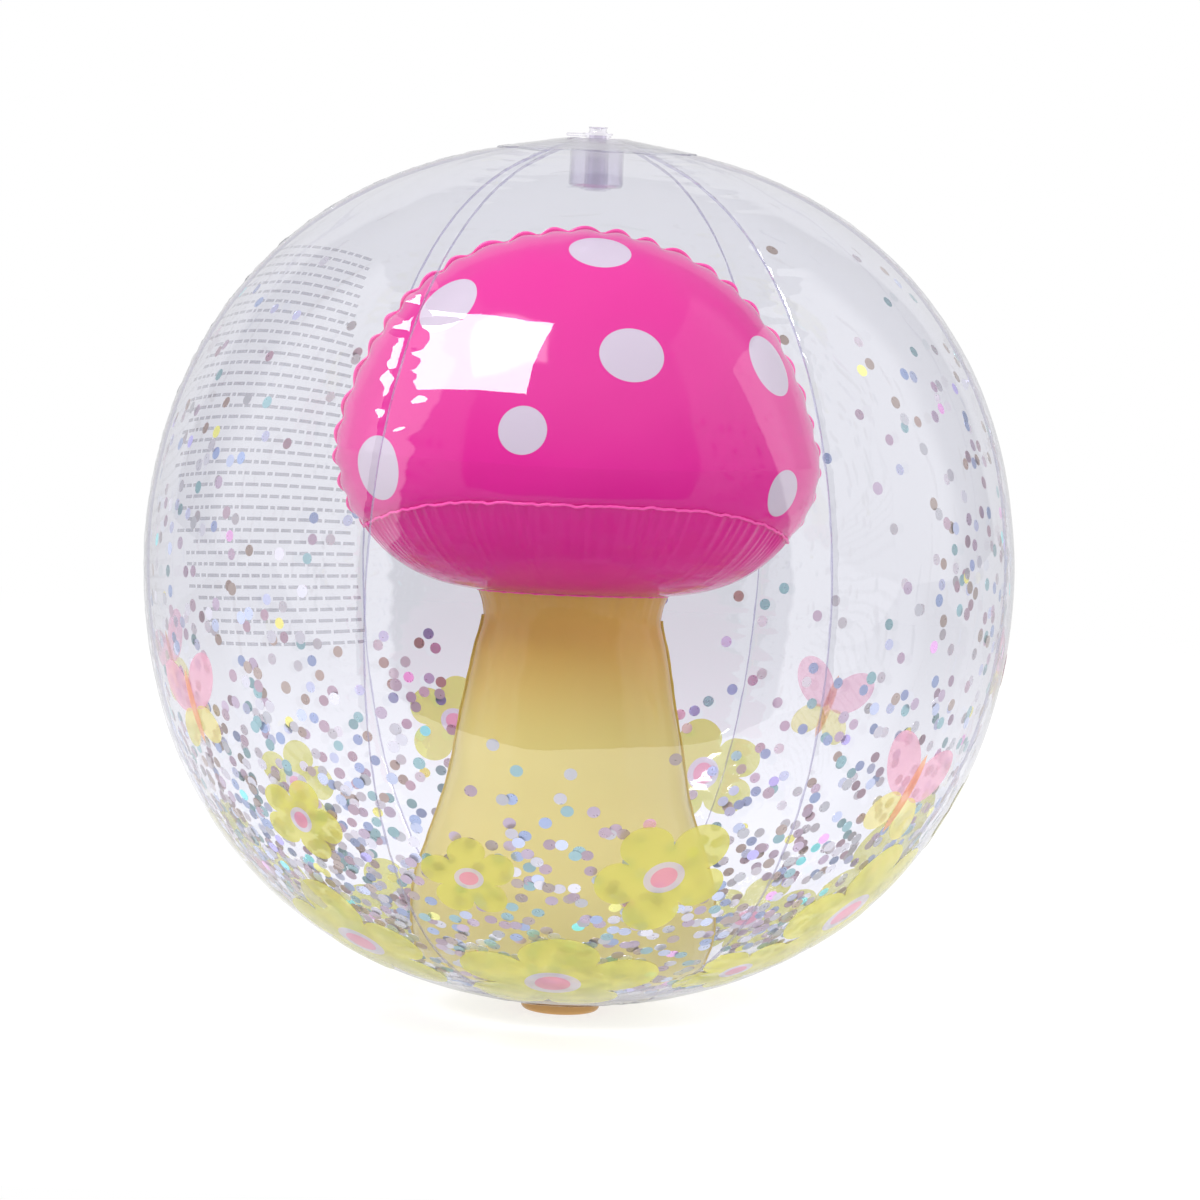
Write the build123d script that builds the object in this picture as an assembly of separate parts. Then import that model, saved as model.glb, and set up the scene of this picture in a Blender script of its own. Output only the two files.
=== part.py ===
from build123d import *
import math
import os

# Clear inflatable beach ball, 350 mm across, with a soft inflated mushroom standing inside it
# and loose foil confetti on its inner wall.  All sizes are in millimetres and angles in degrees.
# The ball stands on its base boss: z = 0 is the boss's resting face, +Z runs up the ball's
# axis to the air valve, and -Y is the front.

# ---- the clear ball ----
ball_radius = 175.0
shoulder_swell = 0.023
crown_flattening = 0.018
foot_flattening = 0.0
valve_tent_height = 2.0
valve_tent_width = 18.0
film = 0.3
gore_count = 6
weld_fin_depth = 2.0
gore_tip_radius = 22.0
patch_radius = 40.0
patch_gap = 0.15
weld_gap = 0.02

# ---- base boss: the mushroom's moulded foot, proud of the ball's underside ----
boss_radius = 16.0
boss_stand = 5.0
boss_edge_radius = 2.0
boss_bore_chamfer = 0.8
boss_collar_wall = 1.5
boss_collar_height = 9.5
boss_clearance = 0.3
moulding_wall = 0.6

# ---- valves: both are the same push-in bung valve ----
pocket_radius = 11.0
pocket_depth = 19.0
pocket_corner = 2.0
stem_radius = 4.6
stem_bore = 3.5
stem_lip_radius = 5.4
stem_lip_top = 1.3
stem_lip_height = 0.9
stem_foot_radius = 6.2
fit_gap = 0.1
plug_radius = 3.45
plug_neck_radius = 3.05
plug_head_radius = 6.0
plug_head_height = 0.8
plug_knob_radius = 4.0
plug_knob_waist = 3.5
plug_knob_top = 4.6
plug_dish_depth = 0.9
plug_guide_depth = 2.0
plug_bulb_top = 6.5
plug_bulb_end = 9.7
strap_width = 4.0
strap_thickness = 0.5
strap_pitch = 0.9
ball_strap_reach = 12.6
mushroom_strap_reach = 10.4
flap_radius = 4.3
flap_thickness = 0.5
flap_hinge_reach = 4.9
flap_tab_width = 4.0
mushroom_valve_mouth = 6.2

# ---- the mushroom, measured from the ball's centre ----
mushroom_depth_ratio = 0.87
cap_top = 137.0
cap_half_width = 98.0
cap_widest_height = 47.0
cap_rim_half_width = 86.5
cap_rim_height = 16.0
cap_underside_height = -8.0
stem_top_half_width = 37.0
stem_base_half_width = 61.5
stem_base_widest_height = -138.0
base_panel_half_width = 55.0
base_panel_stand = 2.6
mushroom_film = 0.3
mushroom_fin_depth = 1.3
mushroom_gap = 0.1

# ---- confetti ----
disc_radius = 2.5
disc_thickness = 0.15
disc_wall_gap = 0.8
disc_seam_gap = 1.0
disc_layer_pitch = 0.6
disc_lattice_count = 4200
confetti_keep_out_radius = 68.0
confetti_colours = ["silver", "mauve", "blue"]

centre_height = boss_stand + ball_radius * (1 - foot_flattening)


def skin_distance(latitude):
    """Distance of the ball's outer skin from its centre at a latitude."""
    angle = math.radians(latitude)
    shape = 1 + shoulder_swell * math.sin(2 * angle) ** 2 - foot_flattening * math.sin(angle) ** 2
    tent = 0.0
    if latitude > 0:
        shape = 1 + shoulder_swell * math.sin(2 * angle) ** 2 - crown_flattening * math.sin(angle) ** 2
        tent = valve_tent_height * math.exp(-((ball_radius * math.cos(angle) / valve_tent_width) ** 2))
    return ball_radius * shape + tent


def latitude_at(radius, side):
    """Latitude where the skin is `radius` from the axis, on the top (+1) or bottom (-1) half."""
    low = 30.0
    high = 90.0
    for _ in range(50):
        middle = (low + high) / 2
        reach = skin_distance(side * middle) * math.cos(math.radians(middle))
        if reach > radius:
            low = middle
        else:
            high = middle
    return side * middle


def skin_point(latitude):
    angle = math.radians(latitude)
    distance = skin_distance(latitude)
    return Vector(distance * math.cos(angle), 0, centre_height + distance * math.sin(angle))


def skin_outline(first_latitude, last_latitude, steps):
    """Meridian of the ball's outer skin, running downwards."""
    span = last_latitude - first_latitude
    return Spline([skin_point(first_latitude + span * step / steps) for step in range(steps + 1)])


def strip(outline, inner, outer, steps=40):
    """Flat face in the XZ plane between two offsets of an outline that runs downwards."""
    edges = []
    for offset in (outer, inner):
        points = []
        for step in range(steps + 1):
            along = outline % (step / steps)
            outward = Vector(-along.Z, 0, along.X)
            points.append(outline @ (step / steps) + outward * offset)
        edges.append(Spline(points))
    outer_edge, inner_edge = edges
    ends = [Line(outer_edge @ 0, inner_edge @ 0), Line(outer_edge @ 1, inner_edge @ 1)]
    return make_face([outer_edge, inner_edge] + ends)


def turned(face, arc=360.0):
    """Solid of revolution about the ball's axis."""
    return revolve(face, axis=Axis.Z, revolution_arc=arc)


def panel_with_fins(outline, arc, thickness, fin_inner, fin_outer):
    """Film panel turned through `arc` from +X, with a weld fin along each straight edge."""
    skin = turned(strip(outline, -thickness, 0), arc)
    fin = extrude(strip(outline, fin_inner, fin_outer), amount=thickness, dir=(0, 1, 0))
    far_fin = extrude(strip(outline, fin_inner, fin_outer), amount=thickness, dir=(0, -1, 0))
    return skin + fin + Rot(0, 0, arc) * far_fin


def save(name, shape):
    """Write one node, whatever number of solids it holds."""
    export_step(Compound(shape.solids()), "parts/" + name + ".step")


def save_solids(name, solids):
    export_step(Compound(solids), "parts/" + name + ".step")


# ---- ball skin ----
def make_gores():
    outline = skin_outline(latitude_at(gore_tip_radius, 1), latitude_at(gore_tip_radius, -1), 48)
    arc = 360.0 / gore_count
    gap_angle = math.degrees(weld_gap / ball_radius)
    gore = panel_with_fins(outline, arc - gap_angle, film, -weld_fin_depth - film, -film / 2)
    for index in range(gore_count):
        start = -90 - arc / 2 + index * arc
        save("gore_%d" % (index + 1), Rot(0, 0, start) * gore)


def pole_ring(inner_radius, outer_radius, side, inner, outer):
    """Ring of film or moulding that follows the skin round one pole."""
    first = latitude_at(inner_radius, side)
    last = latitude_at(outer_radius, side)
    if side < 0:
        first, last = last, first
    return turned(strip(skin_outline(first, last, 16), inner, outer))


def make_patches():
    clear = patch_gap + film
    save("top_patch", pole_ring(pocket_radius + fit_gap, patch_radius, 1, patch_gap, clear))
    save("bottom_patch", pole_ring(boss_radius + boss_clearance, patch_radius, -1, patch_gap, clear))


def make_valve_flange():
    rim = gore_tip_radius - boss_clearance
    hole = pocket_radius + 2 * fit_gap
    save("ball_valve_flange", pole_ring(hole, rim, 1, -moulding_wall, -weld_gap))


# ---- base boss ----
def make_base_boss():
    bore = pocket_radius + fit_gap / 2
    ring_top = skin_point(latitude_at(boss_radius, -1)).Z + moulding_wall
    ring = Cylinder(boss_radius, ring_top, align=(Align.CENTER, Align.CENTER, Align.MIN))
    ring = fillet(ring.edges().sort_by(Axis.Z)[0], boss_edge_radius)
    collar = Cylinder(bore + boss_collar_wall, boss_collar_height,
                      align=(Align.CENTER, Align.CENTER, Align.MIN))
    flange = pole_ring(boss_radius - 1, gore_tip_radius - boss_clearance, -1, -moulding_wall, -weld_gap)
    hole = Cylinder(bore, 2 * boss_collar_height)
    boss = ring + collar + flange - hole
    mouth = boss.edges().filter_by(GeomType.CIRCLE).group_by(Axis.Z)[0].sort_by(SortBy.RADIUS)[0]
    save("base_boss", chamfer(mouth, boss_bore_chamfer))


# ---- valves, drawn with the mouth up and z = 0 level with the skin at the pocket's mouth ----
def outline_points(*places):
    """(radius, height) pairs as points of the XZ plane."""
    return [Vector(radius, 0, height) for radius, height in places]


def pocket_sleeve():
    floor = -pocket_depth
    wall_inner = pocket_radius - moulding_wall
    eye = stem_radius + fit_gap
    outside = FilletPolyline(outline_points((pocket_radius, 0), (pocket_radius, floor - moulding_wall),
                                            (eye, floor - moulding_wall)), radius=pocket_corner)
    inside = FilletPolyline(outline_points((wall_inner, 0), (wall_inner, floor), (eye, floor)),
                            radius=pocket_corner - moulding_wall)
    ends = [Line(outside @ 0, inside @ 0), Line(outside @ 1, inside @ 1)]
    return turned(make_face(outside.edges() + inside.edges() + ends))


def valve_stem():
    foot_top = -pocket_depth - moulding_wall - fit_gap
    foot = foot_top - moulding_wall
    lip_bottom = stem_lip_top - stem_lip_height
    corners = outline_points((stem_bore, stem_lip_top), (stem_lip_radius, stem_lip_top),
                             (stem_lip_radius, lip_bottom), (stem_radius, lip_bottom),
                             (stem_radius, foot_top), (stem_foot_radius, foot_top),
                             (stem_foot_radius, foot), (stem_bore, foot))
    return turned(make_face(Polyline(corners, close=True)))


def valve_plug():
    head_bottom = stem_lip_top + fit_gap
    head_top = head_bottom + plug_head_height
    waist_height = (head_top + plug_knob_top) / 2
    step = plug_radius - plug_neck_radius
    dish = plug_knob_top - plug_dish_depth
    dish_sphere = (plug_knob_radius ** 2 + plug_dish_depth ** 2) / (2 * plug_dish_depth)
    dish_middle = dish + dish_sphere - math.sqrt(dish_sphere ** 2 - (plug_knob_radius / 2) ** 2)
    side = Polyline(outline_points((0, dish), (0, -plug_bulb_end),
                                   (plug_neck_radius - step, -plug_bulb_end),
                                   (plug_radius, -plug_bulb_end + 2 * step), (plug_radius, -plug_bulb_top),
                                   (plug_neck_radius, -plug_bulb_top + step),
                                   (plug_neck_radius, -plug_guide_depth - step),
                                   (plug_radius, -plug_guide_depth), (plug_radius, head_bottom),
                                   (plug_head_radius, head_bottom), (plug_head_radius, head_top),
                                   (plug_knob_radius, head_top)))
    waist = ThreePointArc(outline_points((plug_knob_radius, head_top), (plug_knob_waist, waist_height),
                                         (plug_knob_radius, plug_knob_top)))
    hollow = ThreePointArc(outline_points((plug_knob_radius, plug_knob_top),
                                          (plug_knob_radius / 2, dish_middle), (0, dish)))
    return turned(make_face(side.edges() + [waist, hollow]))


def plug_strap(reach):
    """Hairpin strap from the stem's lip out to `reach` and back to the plug's head."""
    low = stem_lip_top - stem_lip_height / 2 - strap_thickness / 2
    high = low + strap_pitch
    middle = (low + high + strap_thickness) / 2
    turn = reach - (strap_pitch + strap_thickness) / 2
    lip_end = stem_lip_radius + fit_gap / 2
    head_end = plug_head_radius + fit_gap
    edges = []
    for bottom, top, bend in ((low, high + strap_thickness, reach),
                              (low + strap_thickness, high, reach - strap_thickness)):
        lower_start, lower_end = outline_points((-lip_end, bottom), (-turn, bottom))
        upper_end, upper_start = outline_points((-turn, top), (-head_end, top))
        edges.append(Line(lower_start, lower_end))
        edges.append(ThreePointArc(lower_end, Vector(-bend, 0, middle), upper_end))
        edges.append(Line(upper_end, upper_start))
    edges.append(Line(edges[0] @ 0, edges[3] @ 0))
    edges.append(Line(edges[2] @ 1, edges[5] @ 1))
    return extrude(make_face(edges), amount=strap_width / 2, dir=(0, 1, 0), both=True)


def flap_top():
    """Height of the flap's upper face, just under the stem's foot."""
    return -pocket_depth - 2 * moulding_wall - 2 * fit_gap


def valve_flap():
    outline = Circle(flap_radius) + Pos(0, flap_hinge_reach / 2) * Rectangle(flap_tab_width, flap_hinge_reach)
    return Pos(0, 0, flap_top() - flap_thickness) * extrude(outline, amount=flap_thickness)


def make_valve(prefix, place, strap_reach):
    save(prefix + "_sleeve", place * pocket_sleeve())
    save(prefix + "_stem", place * valve_stem())
    save(prefix + "_plug", place * valve_plug())
    save(prefix + "_strap", place * plug_strap(strap_reach))
    save(prefix + "_flap", place * valve_flap())


# ---- mushroom ----
def oval(shape):
    """Squeeze a round mushroom piece to the mushroom's oval plan."""
    return scale(shape, by=(1, mushroom_depth_ratio, 1))


def cap_outline():
    top = centre_height + cap_top
    widest = centre_height + cap_widest_height
    return Spline((0, 0, top),
                  (cap_half_width * 0.36, 0, top - 6),
                  (cap_half_width * 0.64, 0, top - 21),
                  (cap_half_width * 0.86, 0, top - 48),
                  (cap_half_width, 0, widest),
                  (cap_rim_half_width, 0, centre_height + cap_rim_height),
                  tangents=[(1, 0, 0), (-0.5, 0, -1)])


def underside_outline():
    rim = Vector(cap_rim_half_width - mushroom_gap, 0, centre_height + cap_rim_height - mushroom_gap)
    return Spline(rim,
                  (cap_rim_half_width * 0.84, 0, centre_height + 2),
                  (cap_rim_half_width * 0.62, 0, centre_height - 5),
                  (stem_top_half_width + mushroom_gap, 0, centre_height + cap_underside_height))


def stem_outline():
    foot = skin_point(latitude_at(base_panel_half_width, -1))
    lift = film + base_panel_stand + mushroom_film + mushroom_gap
    return Spline((stem_top_half_width, 0, centre_height + cap_underside_height - 2 * mushroom_gap),
                  (stem_top_half_width - 2, 0, centre_height - 25),
                  (44.5, 0, centre_height - 66),
                  (50.5, 0, centre_height - 93),
                  (stem_base_half_width - 3.5, 0, centre_height - 119),
                  (stem_base_half_width, 0, centre_height + stem_base_widest_height),
                  (foot.X + 1, 0, foot.Z + lift))


def make_mushroom():
    halves = {"back": 0, "front": 180}
    for half, turn in halves.items():
        cap = panel_with_fins(cap_outline(), 180, mushroom_film, -mushroom_film / 2, mushroom_fin_depth)
        stem = panel_with_fins(stem_outline(), 180, mushroom_film, -mushroom_film / 2, mushroom_fin_depth)
        nudge = Pos(0, -mushroom_gap / 2 if half == "front" else mushroom_gap / 2, 0)
        save("mushroom_cap_%s_panel" % half, nudge * Rot(0, 0, turn) * oval(cap))
        save("mushroom_stem_%s_panel" % half, nudge * Rot(0, 0, turn) * oval(stem))
    save("mushroom_underside_panel", oval(turned(strip(underside_outline(), -mushroom_film, 0))))
    lowest = -film - base_panel_stand
    collar = pocket_radius + boss_collar_wall + boss_clearance
    base = pole_ring(collar, base_panel_half_width, -1, lowest - mushroom_film, lowest)
    save("mushroom_base_panel", base)


# ---- confetti ----
def scatter(index, salt):
    """Repeatable number from 0 to 1 for one disc, a different one for each salt."""
    return (math.sin(index * 12.9898 + salt * 78.233) * 43758.5453) % 1.0


def seam_clearance(radius, azimuth):
    """Distance to the nearest weld of a point `radius` from the ball's axis."""
    arc = 360.0 / gore_count
    from_seam = (azimuth + 90.0 + arc / 2) % arc
    return radius * math.sin(math.radians(min(from_seam, arc - from_seam)))


def confetti_density(latitude, azimuth):
    """Share of the lattice that holds a disc: most lie low down and towards the front left."""
    low = max(0.0, min(1.0, (10.0 - latitude) / 70.0))
    left = 0.5 + 0.5 * math.cos(math.radians(azimuth + 140.0))
    return 0.006 + 0.30 * low ** 2.2 * (0.35 + left)


def make_confetti():
    golden_turn = 180.0 * (3.0 - math.sqrt(5.0))
    groups = {colour: [] for colour in confetti_colours}
    for index in range(disc_lattice_count):
        latitude = math.degrees(math.asin(1 - (2 * index + 1) / disc_lattice_count))
        azimuth = (index * golden_turn) % 360.0
        reach = skin_distance(latitude) * math.cos(math.radians(latitude))
        if reach < confetti_keep_out_radius:
            continue
        if seam_clearance(reach, azimuth) < disc_radius + disc_seam_gap:
            continue
        if scatter(index, 1) > confetti_density(latitude, azimuth):
            continue
        layer = int(scatter(index, 2) * 3)
        inset = film + disc_wall_gap + layer * disc_layer_pitch
        wall = skin_point(latitude)
        inward = (Vector(0, 0, centre_height) - wall).normalized()
        place = Rot(0, 0, azimuth) * Plane(origin=wall + inward * inset, z_dir=inward).location
        disc = place * Cylinder(disc_radius, disc_thickness)
        colour = confetti_colours[int(scatter(index, 3) * len(confetti_colours))]
        groups[colour].append(disc.solid())
    for colour, discs in groups.items():
        save_solids("confetti_" + colour, discs)


make_gores()
make_patches()
make_valve_flange()
make_base_boss()
seat = skin_point(latitude_at(pocket_radius + fit_gap, 1)).Z
make_valve("ball_valve", Pos(0, 0, seat), ball_strap_reach)
make_valve("mushroom_valve", Pos(0, 0, mushroom_valve_mouth) * Rot(180, 0, 0), mushroom_strap_reach)
make_mushroom()
make_confetti()
print("flap hinge heights", round(seat + flap_top(), 3), round(mushroom_valve_mouth - flap_top(), 3))
print("overall height", round(seat + plug_knob_top, 3))
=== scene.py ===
import math
import bpy
import numpy as np
from mathutils import Euler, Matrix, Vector


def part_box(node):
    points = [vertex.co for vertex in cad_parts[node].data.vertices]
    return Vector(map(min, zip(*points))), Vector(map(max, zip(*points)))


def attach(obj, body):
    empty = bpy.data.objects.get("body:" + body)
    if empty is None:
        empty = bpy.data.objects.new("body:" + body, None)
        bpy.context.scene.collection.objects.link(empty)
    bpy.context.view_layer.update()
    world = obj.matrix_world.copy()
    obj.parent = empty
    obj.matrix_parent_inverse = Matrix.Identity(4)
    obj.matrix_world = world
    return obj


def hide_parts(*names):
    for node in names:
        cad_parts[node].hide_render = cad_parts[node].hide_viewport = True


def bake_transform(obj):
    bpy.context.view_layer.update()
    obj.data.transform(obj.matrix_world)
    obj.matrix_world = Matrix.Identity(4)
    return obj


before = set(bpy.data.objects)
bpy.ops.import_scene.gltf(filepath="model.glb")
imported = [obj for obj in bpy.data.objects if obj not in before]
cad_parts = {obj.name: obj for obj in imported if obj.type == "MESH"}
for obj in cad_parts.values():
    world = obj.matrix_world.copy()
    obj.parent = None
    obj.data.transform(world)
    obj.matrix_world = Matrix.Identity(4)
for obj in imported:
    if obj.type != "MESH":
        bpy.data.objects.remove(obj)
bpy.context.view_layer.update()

# Clear inflatable beach ball with a soft mushroom and foil confetti inside it.
# Points are made in millimetres and angles in degrees; add_piece turns them into metres.
# Azimuth 0 is the front (-Y) and +90 the right side; latitude runs from -90 below to +90 above.

# ---------------------------------------------------------------- driving dimensions (millimetres)
MM = 0.001
FILM_NODES = ["gore_%d" % (i + 1) for i in range(6)]
BALL_RADIUS = max(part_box(node)[1].x for node in FILM_NODES) / MM
BOTTOM_SKIN = 5.0
SHOULDER_SWELL = 0.023
CROWN_FLATTENING = 0.018
TENT_HEIGHT = 2.0
TENT_WIDTH = 18.0
CENTRE_HEIGHT = BOTTOM_SKIN + BALL_RADIUS
GORE_COUNT = 6
GORE_ARC = 360.0 / GORE_COUNT
TIP_RADIUS = 22.0
PATCH_RADIUS = 40.0


# ---------------------------------------------------------------- small tools
def wave(x, seed=0.0):
    """Smooth repeatable wobble between about -1 and 1."""
    x = np.asarray(x, float)
    return (np.sin(x * 2.0 + seed * 1.7) + 0.7 * np.sin(x * 3.3 + seed * 4.1 + 1.0)
            + 0.5 * np.sin(x * 5.7 + seed * 2.3 + 2.0)) / 2.2


def smoothstep(low, high, x):
    """0 below `low`, 1 above `high`, smooth in between."""
    t = np.clip((np.asarray(x, float) - low) / (high - low), 0, 1)
    return t * t * (3 - 2 * t)


def add_piece(name, vertices, faces, material, body, slot, replaced=(), smooth=True):
    """Mesh object from points in millimetres; it rides on a body and stands for CAD nodes."""
    mesh = bpy.data.meshes.new(name)
    mesh.from_pydata((np.asarray(vertices) * MM).tolist(), [], [list(f) for f in faces])
    mesh.validate()
    mesh.polygons.foreach_set("use_smooth", [smooth] * len(mesh.polygons))
    piece = bpy.data.objects.new(name, mesh)
    bpy.context.scene.collection.objects.link(piece)
    mesh.materials.append(material)
    if body is not None:
        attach(piece, body)
    if replaced:
        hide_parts(*replaced)
    return piece


def grid_faces(rows, columns, wrap=False, start=0):
    """Quads of a rows x columns grid of points; wrap joins the last column to the first."""
    faces = []
    last = columns if wrap else columns - 1
    for row in range(rows - 1):
        for column in range(last):
            right = (column + 1) % columns
            faces.append((start + row * columns + column, start + row * columns + right,
                          start + (row + 1) * columns + right, start + (row + 1) * columns + column))
    return faces


def ribbon(inner, outer, side, thickness, closed=False):
    """Thin closed strip between two rows of points, `thickness` wide along `side`."""
    half = np.asarray(side) * thickness / 2
    ring = [inner - half, inner + half, outer + half, outer - half]
    count = len(inner)
    vertices = np.stack(ring, 1).reshape(-1, 3)
    faces = []
    last = count if closed else count - 1
    for i in range(last):
        j = (i + 1) % count
        for corner in range(4):
            following = (corner + 1) % 4
            faces.append((4 * i + corner, 4 * i + following, 4 * j + following, 4 * j + corner))
    if not closed:
        faces.append((3, 2, 1, 0))
        end = 4 * (count - 1)
        faces.append((end, end + 1, end + 2, end + 3))
    return vertices, faces


def bead(path, radius, closed=False, sides=8):
    """Round bead of the given radius along a path of points."""
    path = np.asarray(path, float)
    ends = (np.roll(path, -1, 0), np.roll(path, 1, 0)) if closed else (path[1:], path[:-1])
    tangent = ends[0] - ends[1]
    if not closed:
        tangent = np.concatenate([tangent[:1], tangent])
    tangent /= np.linalg.norm(tangent, axis=1, keepdims=True)
    first = np.cross(tangent, [0.31, 0.22, 0.92])
    first /= np.linalg.norm(first, axis=1, keepdims=True)
    second = np.cross(tangent, first)
    turns = 2 * math.pi * np.arange(sides) / sides
    ring = first[:, None] * np.cos(turns)[None, :, None] + second[:, None] * np.sin(turns)[None, :, None]
    vertices = (path[:, None] + ring * radius).reshape(-1, 3)
    count = len(path)
    faces = grid_faces(count, sides, wrap=True)
    if closed:
        last = (count - 1) * sides
        for side in range(sides):
            faces.append((last + side, last + (side + 1) % sides, (side + 1) % sides, side))
    else:
        faces.append(tuple(reversed(range(sides))))
        faces.append(tuple((count - 1) * sides + side for side in range(sides)))
    return vertices, faces


def lathe(profile, segments):
    """Points and faces of a (radius, height) outline turned about the ball's axis."""
    angles = np.linspace(0, 2 * math.pi, segments, endpoint=False)
    points = [[(r * math.cos(a), r * math.sin(a), z) for a in angles] for r, z in profile]
    return np.array(points).reshape(-1, 3), grid_faces(len(profile), segments, wrap=True)


def join_parts(parts):
    """One vertex and face list out of several."""
    vertices = []
    faces = []
    for part_vertices, part_faces in parts:
        start = sum(len(v) for v in vertices)
        vertices.append(np.asarray(part_vertices, float))
        faces.extend(tuple(index + start for index in face) for face in part_faces)
    return np.concatenate(vertices), faces


# ---------------------------------------------------------------- materials
def new_material(name):
    """Empty node material, with its nodes and links."""
    material = bpy.data.materials.new(name)
    material.use_nodes = True
    nodes = material.node_tree.nodes
    nodes.clear()
    return material, nodes, material.node_tree.links


def output_to(nodes, links, shader):
    out = nodes.new("ShaderNodeOutputMaterial")
    links.new(shader, out.inputs["Surface"])


def maths(nodes, links, operation, first, second=None, clamp=False):
    """Math node whose inputs are numbers or other nodes' outputs."""
    node = nodes.new("ShaderNodeMath")
    node.operation = operation
    node.use_clamp = clamp
    for index, value in enumerate((first, second)):
        if value is None:
            continue
        if isinstance(value, (int, float)):
            node.inputs[index].default_value = value
        else:
            links.new(value, node.inputs[index])
    return node.outputs[0]


def plug_in(links, value, socket):
    """Sets a socket to a number or colour, or links another node's output to it."""
    if isinstance(value, bpy.types.NodeSocket):
        links.new(value, socket)
    else:
        socket.default_value = (*value, 1) if isinstance(value, tuple) else value


def smooth_ramp(nodes, links, value, low, high, start=0.0, end=1.0):
    """Smooth step of a value from `start` at `low` to `end` at `high`."""
    ramp = nodes.new("ShaderNodeMapRange")
    ramp.interpolation_type = "SMOOTHSTEP"
    for socket, number in (("From Min", low), ("From Max", high), ("To Min", start), ("To Max", end)):
        ramp.inputs[socket].default_value = number
    links.new(value, ramp.inputs["Value"])
    return ramp.outputs[0]


def mix_colours(nodes, links, share, first, second):
    """Colour that goes from `first` to `second` as the share goes from 0 to 1."""
    mix = nodes.new("ShaderNodeMix")
    mix.data_type = "RGBA"
    for name, value in (("Factor", share), ("A", first), ("B", second)):
        plug_in(links, value, mix.inputs[name])
    return mix.outputs["Result"]


def mix_shaders(nodes, links, share, first, second):
    """Blend of two shaders."""
    mix = nodes.new("ShaderNodeMixShader")
    plug_in(links, share, mix.inputs["Fac"])
    links.new(first, mix.inputs[1])
    links.new(second, mix.inputs[2])
    return mix.outputs[0]


def simple_shader(nodes, links, kind, colour):
    """Diffuse, translucent or transparent shader of one colour."""
    shader = nodes.new("ShaderNodeBsdf" + kind)
    plug_in(links, colour, shader.inputs["Color"])
    return shader.outputs[0]


def noise_height(nodes, links, scale, detail=3.0):
    """Noise fixed to the piece, as a value between 0 and 1."""
    where = nodes.new("ShaderNodeTexCoord")
    noise = nodes.new("ShaderNodeTexNoise")
    noise.inputs["Scale"].default_value = scale
    noise.inputs["Detail"].default_value = detail
    links.new(where.outputs["Object"], noise.inputs["Vector"])
    return noise.outputs["Fac"]


def bump_normal(nodes, links, height, strength, distance):
    bump = nodes.new("ShaderNodeBump")
    bump.inputs["Strength"].default_value = strength
    bump.inputs["Distance"].default_value = distance
    links.new(height, bump.inputs["Height"])
    return bump.outputs["Normal"]


def thin_gloss(nodes, links, base, normal_reflection, roughness, normal=None):
    """Puts a two-sided Fresnel gloss over a shader, for film too thin to refract."""
    facing = nodes.new("ShaderNodeLayerWeight")
    facing.inputs["Blend"].default_value = 0.5
    power = maths(nodes, links, "POWER", facing.outputs["Facing"], 5.0)
    scaled = maths(nodes, links, "MULTIPLY", power, 1.0 - normal_reflection)
    fresnel = maths(nodes, links, "ADD", scaled, normal_reflection, clamp=True)
    gloss = nodes.new("ShaderNodeBsdfGlossy")
    gloss.inputs["Roughness"].default_value = roughness
    if normal is not None:
        links.new(normal, gloss.inputs["Normal"])
    return mix_shaders(nodes, links, fresnel, base, gloss.outputs[0])


def see_through(name, tint, haze_colour, haze, reflection, roughness, crinkle):
    """Clear soft vinyl: tinted see-through, a little milky haze, glossy both sides."""
    material, nodes, links = new_material(name)
    clear = simple_shader(nodes, links, "Transparent", tint)
    milk = simple_shader(nodes, links, "Diffuse", haze_colour)
    amount = maths(nodes, links, "MULTIPLY", noise_height(nodes, links, 30.0, 4.0), 2.0 * haze)
    body = mix_shaders(nodes, links, amount, clear, milk)
    fine = bump_normal(nodes, links, noise_height(nodes, links, 60.0, 2.0), crinkle, 0.0008)
    output_to(nodes, links, thin_gloss(nodes, links, body, reflection, roughness, fine))
    return material


def print_ink(name, colour, edge_colour, cover):
    """Ink printed on the film: it lets light and a pale tint through, glossy like the film."""
    material, nodes, links = new_material(name)
    paint = mix_colours(nodes, links, noise_height(nodes, links, 45.0, 3.0), edge_colour, colour)
    ink = simple_shader(nodes, links, "Diffuse", paint)
    glow = simple_shader(nodes, links, "Translucent", paint)
    body = mix_shaders(nodes, links, 0.6, ink, glow)
    clear = simple_shader(nodes, links, "Transparent", tuple(0.45 + 0.55 * share for share in colour))
    film = mix_shaders(nodes, links, cover, clear, body)
    output_to(nodes, links, thin_gloss(nodes, links, film, 0.05, 0.08))
    return material


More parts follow.
